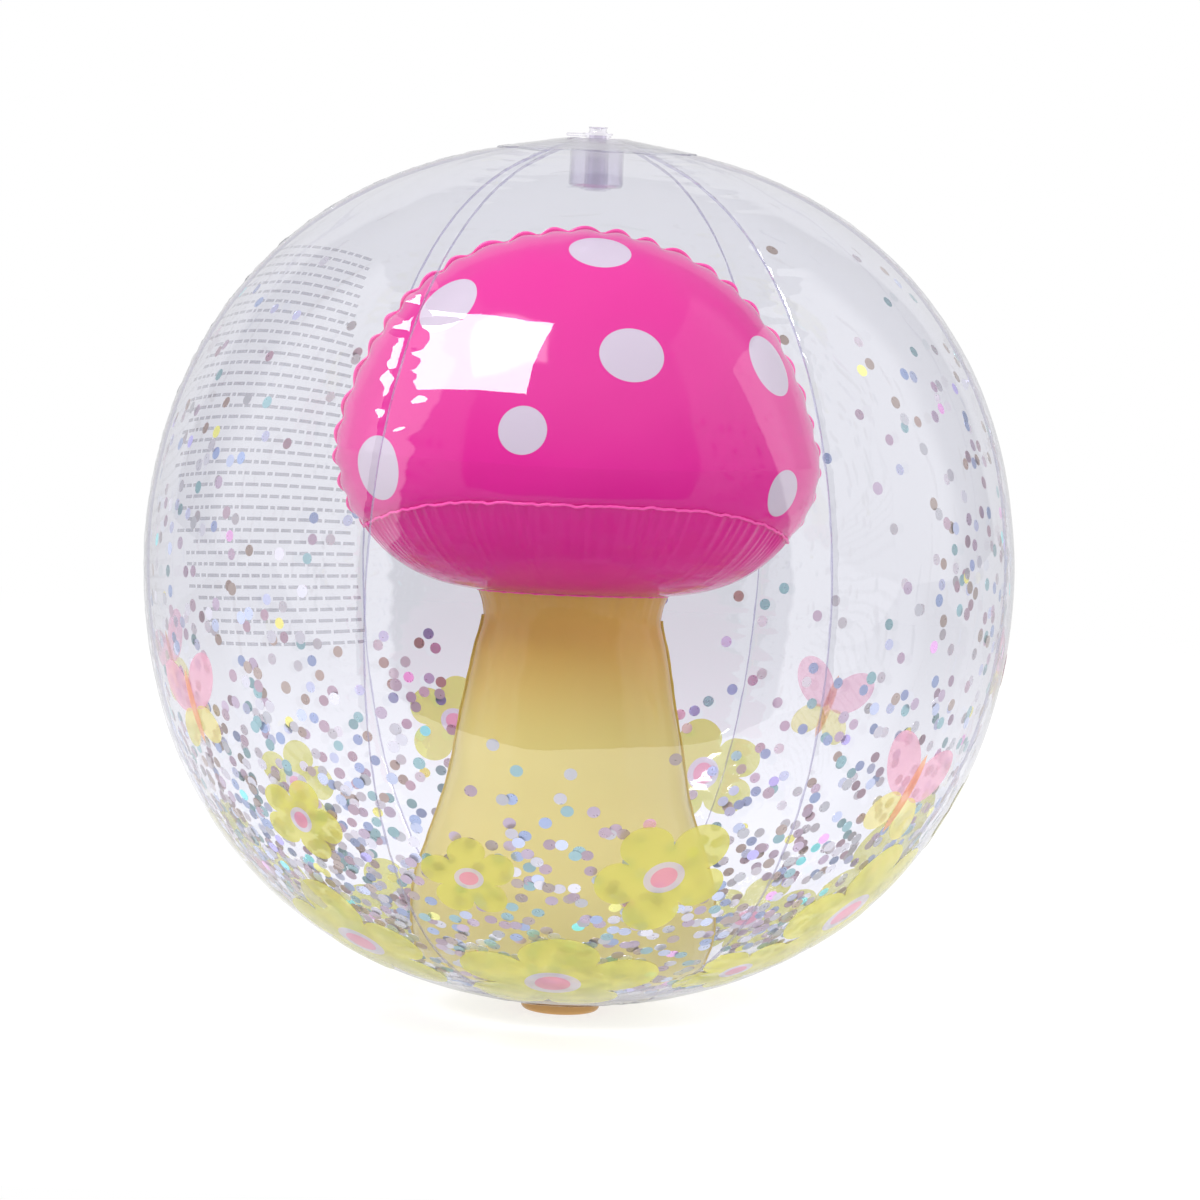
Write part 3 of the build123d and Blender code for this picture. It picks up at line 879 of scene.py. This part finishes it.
def make_base_panel():
    """Yellow floor of the mushroom, lying along the ball's bottom, puckered at its edge weld."""
    foot_radius, foot_height = STEM_OUTLINE[-1]
    collar = 14.2
    rows, columns = 40, 360
    azimuths = np.linspace(-180, 180, columns, endpoint=False)
    a = np.radians(azimuths)
    share = np.linspace(0, 1, rows)
    points = []
    for s in share:
        radius = foot_radius + (collar - foot_radius) * s
        ratio = DEPTH_RATIO + (1 - DEPTH_RATIO) * s
        floor = -np.sqrt(np.maximum(0, 175.5 ** 2 - radius ** 2)) + 4.6
        height = floor * smoothstep(0, 0.15, s) + foot_height * (1 - smoothstep(0, 0.15, s))
        pucker = 0.5 * wave(azimuths / 4.0, 3.0) * np.exp(-s * 9)
        points.append(leaning(np.stack([radius * np.sin(a), -ratio * radius * np.cos(a),
                                        height + pucker + CENTRE_HEIGHT], -1)))
    add_piece("mushroom_base", np.array(points).reshape(-1, 3), grid_faces(rows, columns, wrap=True), YELLOW,
              "ball", "yellow_vinyl", ["mushroom_base_panel"])


DOTS = [  # azimuth, polar angle, radius, height over width
    (7, 24, 12.5, 0.9),
    (-50, 49, 13.2, 1.05),
    (11.5, 61, 13, 0.86),
    (60, 63.5, 13.2, 1.0),
    (-15.5, 81.5, 9.7, 1.0),
    (-56, 95, 13, 1.0),
    (54.5, 98, 9.7, 1.0),
]


def cap_dots():
    """The pale dots, placed on the front and the back panel: centre, radius, height over width."""
    dots = []
    for turn in (0, 180):
        for azimuth, polar, radius, squeeze in DOTS:
            point, _ = dome_point(np.array([azimuth + turn], float), np.array([polar], float))
            dots.append((tuple(point[0] * MM), radius * MM, squeeze))
    return dots


DOT_COLOUR = (0.58, 0.51, 0.58)
PINK = vinyl("pink_vinyl", (0.72, 0.007, 0.28), (0.69, 0.006, 0.26), 0.06, 0.12, cap_dots(), DOT_COLOUR)
# Painted highlight: the welds and beads are the cap's pink vinyl, coloured brighter to stand for the
# highlight along them.
HIGHLIT_PINK_WELD = vinyl("highlit_pink_weld", (1.0, 0.10, 0.46), (0.95, 0.08, 0.42), 0.15, 0.12)
# Painted shade on the stem: full amber from 18 mm below the centre, gone at 75 mm, for the cap's shadow and
# pink bounce.
PAINTED_NECK_SHADE = ((0.68, 0.42, 0.10), (CENTRE_HEIGHT - 75) * MM, (CENTRE_HEIGHT - 18) * MM)
YELLOW = vinyl("yellow_vinyl", (0.77, 0.69, 0.25), (0.74, 0.64, 0.22), 0.09, 0.2, neck=PAINTED_NECK_SHADE)
YELLOW_EDGE = vinyl("yellow_weld", (0.76, 0.60, 0.15), (0.70, 0.53, 0.12), 0.15, 0.30)
# Painted shade: the base boss is the mushroom's yellow vinyl, darkened to amber as it looks in shade.
BOSS_SHADED_YELLOW = vinyl("amber_moulding", (0.46, 0.27, 0.10), (0.36, 0.20, 0.07), 0.12, 0.1)


# ---------------------------------------------------------------- confetti
DISC_COUNT = 2600
DISC_RADIUS = 2.5
DISC_THICKNESS = 0.12
DISC_SIDES = 16
FOIL_TONES = {"silver": [(0.62, 0.60, 0.64), (0.74, 0.73, 0.78), (0.50, 0.50, 0.52)],
              "mauve": [(0.46, 0.34, 0.40), (0.52, 0.42, 0.52), (0.42, 0.34, 0.30)],
              "blue": [(0.30, 0.48, 0.50), (0.34, 0.42, 0.62), (0.60, 0.66, 0.84)]}
# Painted glints: bright colours given to a few discs to stand for holographic glints.
GLINTS = [(0.30, 1.0, 1.0), (1.0, 0.55, 0.95), (1.0, 0.98, 0.30), (0.60, 0.55, 1.0)]


def confetti_density(azimuth, latitude):
    """Chance that a disc lies at a place: thick low on both sides, thin in front of the stem."""
    low = min(1.0, max(0.0, (12 - latitude) / 75))
    left = 0.5 + 0.5 * math.cos(math.radians(azimuth + 75))
    right = 0.5 + 0.5 * math.cos(math.radians(azimuth - 85))
    patches = float(wave(azimuth / 11 + latitude / 17, 3.0)) * float(wave(latitude / 7 - azimuth / 19, 8.0))
    clump = 0.5 + 0.5 * patches
    front = math.exp(-((azimuth / 42) ** 4)) * float(smoothstep(-34, -14, latitude))
    density = 0.0035 + (low ** 2.2) * (0.22 + 1.25 * left ** 1.5 + 0.6 * right ** 2) * clump
    drift = math.exp(-((azimuth - 78) / 38) ** 2) + 0.4 * math.exp(-((azimuth + 95) / 38) ** 2)
    density += 0.16 * drift * math.exp(-((latitude - 8) / 20) ** 2) * clump
    return density * (1 - 0.96 * front)


def scatter_confetti():
    """Places of the discs on the inner wall, clear of the seams and of each other."""
    random = np.random.default_rng(61)
    closest, seam_gap, patch_keep_out = 2.5, 3.4, 67
    kept = []
    centres = np.zeros((0, 3))
    tries = 0
    while len(kept) < DISC_COUNT and tries < 120000:
        tries += 1
        latitude = math.degrees(math.asin(random.uniform(-0.93, 0.8)))
        azimuth = random.uniform(-180, 180)
        layer, draw, family, tone, tip, roll = random.random(6)
        if draw > confetti_density(azimuth, latitude):
            continue
        reach = float(skin_distance(latitude)) * math.cos(math.radians(latitude))
        seam = (azimuth + 30) % 60
        if reach < patch_keep_out or reach * math.sin(math.radians(min(seam, 60 - seam))) < seam_gap:
            continue
        inset = 1.6 + 0.45 * int(layer * 4)
        centre = skin_point(np.array(azimuth), np.array(latitude), -inset)
        if len(kept) and np.min(np.linalg.norm(centres - centre, axis=1)) < closest:
            continue
        centres = np.concatenate([centres, centre[None]])
        kept.append((centre, list(FOIL_TONES)[int(family * 3)], tone, tip, roll))
    return kept


def foil_disc(centre, tip, start):
    """Points and faces of one disc lying against the wall, tipped a little."""
    middle = np.array([0, 0, CENTRE_HEIGHT])
    up = (middle - centre) / np.linalg.norm(middle - centre)
    across = np.cross(up, [0.3, 0.9, 0.2])
    across /= np.linalg.norm(across)
    tipped = up + across * (tip - 0.5) * 0.10
    tipped /= np.linalg.norm(tipped)
    across = np.cross(tipped, [0.3, 0.9, 0.2])
    across /= np.linalg.norm(across)
    other = np.cross(tipped, across)
    vertices = []
    for level in (-0.5, 0.5):
        for k in range(DISC_SIDES):
            angle = 2 * math.pi * k / DISC_SIDES
            rim = (across * math.cos(angle) + other * math.sin(angle)) * DISC_RADIUS
            vertices.append(centre + rim + tipped * level * DISC_THICKNESS)
    far = start + DISC_SIDES
    faces = [tuple(start + k for k in reversed(range(DISC_SIDES))), tuple(far + k for k in range(DISC_SIDES))]
    for k in range(DISC_SIDES):
        following = (k + 1) % DISC_SIDES
        faces.append((start + k, start + following, far + following, far + k))
    return vertices, faces


def make_confetti():
    """Loose foil discs on the inner wall, each with its own colour, in uneven drifts."""
    kept = scatter_confetti()
    corners_per_disc = 6 * DISC_SIDES
    for family, tones in FOIL_TONES.items():
        vertices, faces, colours = [], [], []
        for centre, own, tone, tip, roll in kept:
            if own != family:
                continue
            disc_vertices, disc_faces = foil_disc(centre, tip, len(vertices))
            vertices.extend(disc_vertices)
            faces.extend(disc_faces)
            colour = np.array(tones[int(tone * 3)]) * (0.92 + 0.34 * roll)
            # Painted glint: a few discs take a bright glint colour instead of their foil tone.
            if roll > 0.955:
                colour = np.array(GLINTS[int(tone * 4)])
            colours.extend([tuple(np.clip(colour, 0, 1)) + (1.0,)] * corners_per_disc)
        piece = add_piece("confetti_%s_discs" % family, vertices, faces, FOIL, "ball", "foil_" + family,
                          ["confetti_" + family], smooth=False)
        layer = piece.data.color_attributes.new("disc_colour", "FLOAT_COLOR", "CORNER")
        layer.data.foreach_set("color", np.array(colours, float).ravel())


# ---------------------------------------------------------------- valves and base
def make_pocket(prefix, mouth_up):
    """Thin cup round the stem; it stretches from its mouth on the ball to its floor on the valve."""
    low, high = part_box(prefix + "_sleeve")
    top, bottom = high.z / MM, low.z / MM
    up = 1 if mouth_up else -1
    mouth = top if mouth_up else bottom
    floor = bottom if mouth_up else top
    outer = high.x / MM
    corner, wall, stem_hole = 2.0, 0.55, 4.75
    profile = [(outer + 0.3, mouth + 0.05 * up)]
    for share in np.linspace(0.03, 0.86, 14):
        profile.append((outer - 0.25 * math.sin(share * math.pi), mouth + (floor - mouth) * share))
    for angle in np.radians(np.linspace(0, 90, 8)):
        height = floor + up * (corner - corner * math.sin(angle))
        profile.append((outer - corner + corner * math.cos(angle), height))
    profile.append((stem_hole, floor))
    inner = []
    for radius, height in profile:
        by_floor = abs(height - floor) < 2.5 and radius < outer - 0.4
        inner.append((radius - wall if radius > 8 else radius, height + (wall * up if by_floor else 0)))
    vertices, faces = lathe(profile + inner[::-1], 72)
    sleeve = add_piece(prefix + "_pocket", vertices, faces, MOULDING, None, "clear_moulding",
                       [prefix + "_sleeve"])
    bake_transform(sleeve)


def make_tether(prefix):
    """Folded strap from the stem's lip to the plug's head."""
    low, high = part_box(prefix + "_strap")
    reach, near = low.x / MM, high.x / MM
    bottom, top = low.z / MM, high.z / MM
    middle = (bottom + top) / 2
    half, edge = 0.25, 0.12
    bend = (top - bottom) / 2 - half
    turn = reach + bend + half
    path = [(near - 0.2, bottom + half), (reach + bend + 2, bottom + half), (turn, bottom + half)]
    for angle in np.radians(np.linspace(-90, -270, 9)[1:-1]):
        path.append((turn + bend * math.cos(angle), middle + bend * math.sin(angle)))
    path += [(turn, top - half), (reach + bend + 2, top - half), (near - 0.7, top - half)]
    ring = [(-2, edge), (-1.85, half), (1.85, half), (2, edge),
            (2, -edge), (1.85, -half), (-1.85, -half), (-2, -edge)]
    path = np.array(path)
    tangent = np.gradient(path, axis=0)
    tangent /= np.linalg.norm(tangent, axis=1, keepdims=True)
    vertices = []
    for (x, z), (tx, tz) in zip(path, tangent):
        for y, t in ring:
            vertices.append((x - tz * t, y, z + tx * t))
    faces = grid_faces(len(path), len(ring), wrap=True)
    faces.append(tuple(reversed(range(len(ring)))))
    faces.append(tuple(range(len(vertices) - len(ring), len(vertices))))
    strap = add_piece(prefix + "_tether", vertices, faces, MOULDING, None, "clear_moulding",
                      [prefix + "_strap"])
    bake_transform(strap)


def dress_cad_nodes():
    """Carried-over CAD nodes only change material."""
    clear_nodes = ("ball_valve_flange", "ball_valve_stem", "ball_valve_plug", "ball_valve_flap",
                   "mushroom_valve_stem", "mushroom_valve_plug", "mushroom_valve_flap")
    dressing = {node: MOULDING for node in clear_nodes}
    # Painted shade: the boss gets the yellow vinyl's shaded amber tone.
    dressing["base_boss"] = BOSS_SHADED_YELLOW
    for node, material in dressing.items():
        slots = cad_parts[node].data.materials
        slots.clear()
        slots.append(material)


make_gores()
make_welds()
make_patch("top_patch_film", "top_patch", 1, 11.1)
make_patch("bottom_patch_film", "bottom_patch", -1, 16.3)
make_flowers()
make_butterflies()
make_grey_bars()
make_cap()
make_cap_fins()
make_underside()
make_stem()
make_base_panel()
make_confetti()
for valve, plug, mouth_up in (("ball_valve", "ball_plug", True), ("mushroom_valve", "mushroom_plug", False)):
    make_pocket(valve, mouth_up)
    make_tether(valve)
dress_cad_nodes()


# ---------------------------------------------------------------- studio
def make_floor():
    """Plain white sweep under and behind the ball."""
    near, far, half = -0.34, 7.0, 6.0
    corners = [(-half, near, 0), (half, near, 0), (half, far, 0), (-half, far, 0)]
    mesh = bpy.data.meshes.new("floor")
    mesh.from_pydata(corners, [], [(0, 1, 2, 3)])
    floor = bpy.data.objects.new("floor", mesh)
    bpy.context.scene.collection.objects.link(floor)
    material, nodes, links = new_material("floor_white")
    paper = simple_shader(nodes, links, "Diffuse", (0.30, 0.30, 0.30))
    glow = nodes.new("ShaderNodeEmission")
    path = nodes.new("ShaderNodeLightPath")
    bounce = maths(nodes, links, "MULTIPLY_ADD", path.outputs["Is Diffuse Ray"], 0.58)
    bounce.node.inputs[2].default_value = 0.74
    links.new(bounce, glow.inputs["Strength"])
    near_ball = nodes.new("ShaderNodeAddShader")
    links.new(paper, near_ball.inputs[0])
    links.new(glow.outputs[0], near_ball.inputs[1])
    far_off = nodes.new("ShaderNodeEmission")
    where = nodes.new("ShaderNodeTexCoord")
    reach = nodes.new("ShaderNodeVectorMath")
    reach.operation = "LENGTH"
    links.new(where.outputs["Object"], reach.inputs[0])
    blend = smooth_ramp(nodes, links, reach.outputs["Value"], 0.25, 1.6)
    output_to(nodes, links, mix_shaders(nodes, links, blend, near_ball.outputs[0], far_off.outputs[0]))
    mesh.materials.append(material)


LIGHT_TARGET = (0, 0, 0.2)


def area_light(name, position, width, height, power, mirrored, twist=0.0):
    """Soft rectangular lamp aimed at the ball; only a mirrored one shows in reflections."""
    light = bpy.data.lights.new(name, "AREA")
    light.shape = "RECTANGLE"
    light.size, light.size_y = width, height
    light.energy = power
    holder = bpy.data.objects.new(name, light)
    bpy.context.scene.collection.objects.link(holder)
    holder.location = position
    holder.rotation_mode = "QUATERNION"
    aim = (Vector(LIGHT_TARGET) - Vector(position)).to_track_quat("-Z", "Y")
    holder.rotation_quaternion = aim @ Euler((0, 0, math.radians(twist))).to_quaternion()
    holder.visible_glossy = mirrored


def make_world():
    """White backdrop and white side panels, dim room in front; the camera sees plain white."""
    world = bpy.data.worlds.new("studio")
    bpy.context.scene.world = world
    world.use_nodes = True
    nodes, links = world.node_tree.nodes, world.node_tree.links
    nodes.clear()
    where = nodes.new("ShaderNodeTexCoord")
    split = nodes.new("ShaderNodeSeparateXYZ")
    links.new(where.outputs["Generated"], split.inputs[0])
    along, up = split.outputs["Y"], split.outputs["Z"]
    sideways = maths(nodes, links, "ABSOLUTE", split.outputs["X"])

    past_front = maths(nodes, links, "ADD", along, maths(nodes, links, "MULTIPLY", sideways, 0.75))
    under_top = maths(nodes, links, "SUBTRACT", maths(nodes, links, "MULTIPLY", sideways, 1.44), up)
    panels = maths(nodes, links, "MULTIPLY", smooth_ramp(nodes, links, past_front, -0.02, 0.02),
                   smooth_ramp(nodes, links, under_top, -0.02, 0.02))
    panels = maths(nodes, links, "MULTIPLY", panels, smooth_ramp(nodes, links, along, 0.30, 0.50, 1.6, 0.50))
    backdrop = smooth_ramp(nodes, links, along, 0.69, 0.76)
    overhead = smooth_ramp(nodes, links, up, 0.2, 0.8, 0.06, 0.62)
    level = maths(nodes, links, "MAXIMUM", panels, maths(nodes, links, "MAXIMUM", backdrop, overhead))
    path = nodes.new("ShaderNodeLightPath")
    soft = maths(nodes, links, "MULTIPLY", path.outputs["Is Diffuse Ray"], 0.55)
    level = maths(nodes, links, "ADD", level, soft)
    level = maths(nodes, links, "MAXIMUM", level, path.outputs["Is Camera Ray"])
    sky = nodes.new("ShaderNodeBackground")
    sky.inputs["Color"].default_value = (1, 1, 1, 1)
    links.new(level, sky.inputs["Strength"])
    out = nodes.new("ShaderNodeOutputWorld")
    links.new(sky.outputs[0], out.inputs["Surface"])


CAMERA_DISTANCE = 10.5  # in ball radii
CAMERA_AZIMUTH = -3.0
CAMERA_ELEVATION = 5.4
CAMERA_ROLL = 2.5
AIM_RIGHT = 0.2643
AIM_DOWN = 0.3902
SENSOR_WIDTH = 36.0
LENS = 136.56


def make_camera():
    """Long lens, a little above the ball's middle, turned slightly about its own axis."""
    e, a = math.radians(CAMERA_ELEVATION), math.radians(CAMERA_AZIMUTH)
    centre = Vector((0, 0, CENTRE_HEIGHT * MM))
    away = Vector((math.cos(e) * math.sin(a), -math.cos(e) * math.cos(a), math.sin(e)))
    camera_data = bpy.data.cameras.new("camera")
    camera_data.sensor_width = SENSOR_WIDTH
    camera_data.lens = LENS
    camera_data.clip_end = 50
    camera = bpy.data.objects.new("camera", camera_data)
    bpy.context.scene.collection.objects.link(camera)
    camera.location = centre + away * CAMERA_DISTANCE * BALL_RADIUS * MM
    camera.rotation_mode = "QUATERNION"
    view = (-away).to_track_quat("-Z", "Y")
    roll = Euler((0, 0, math.radians(CAMERA_ROLL))).to_quaternion()
    aim = Euler((-math.radians(AIM_DOWN), -math.radians(AIM_RIGHT), 0)).to_quaternion()
    camera.rotation_quaternion = view @ roll @ aim
    bpy.context.scene.camera = camera


make_floor()
make_world()
area_light("key", (-0.90, -0.85, 1.76), 1.10, 0.78, 32, mirrored=True, twist=22)
area_light("top", (0.1, 0.3, 2.2), 2.2, 2.2, 8, mirrored=False)
area_light("fill", (0.9, -2.6, 0.9), 2.2, 2.2, 30, mirrored=False)
make_camera()
bpy.context.scene.view_settings.view_transform = "Standard"
bpy.context.scene.cycles.transparent_max_bounces = 24
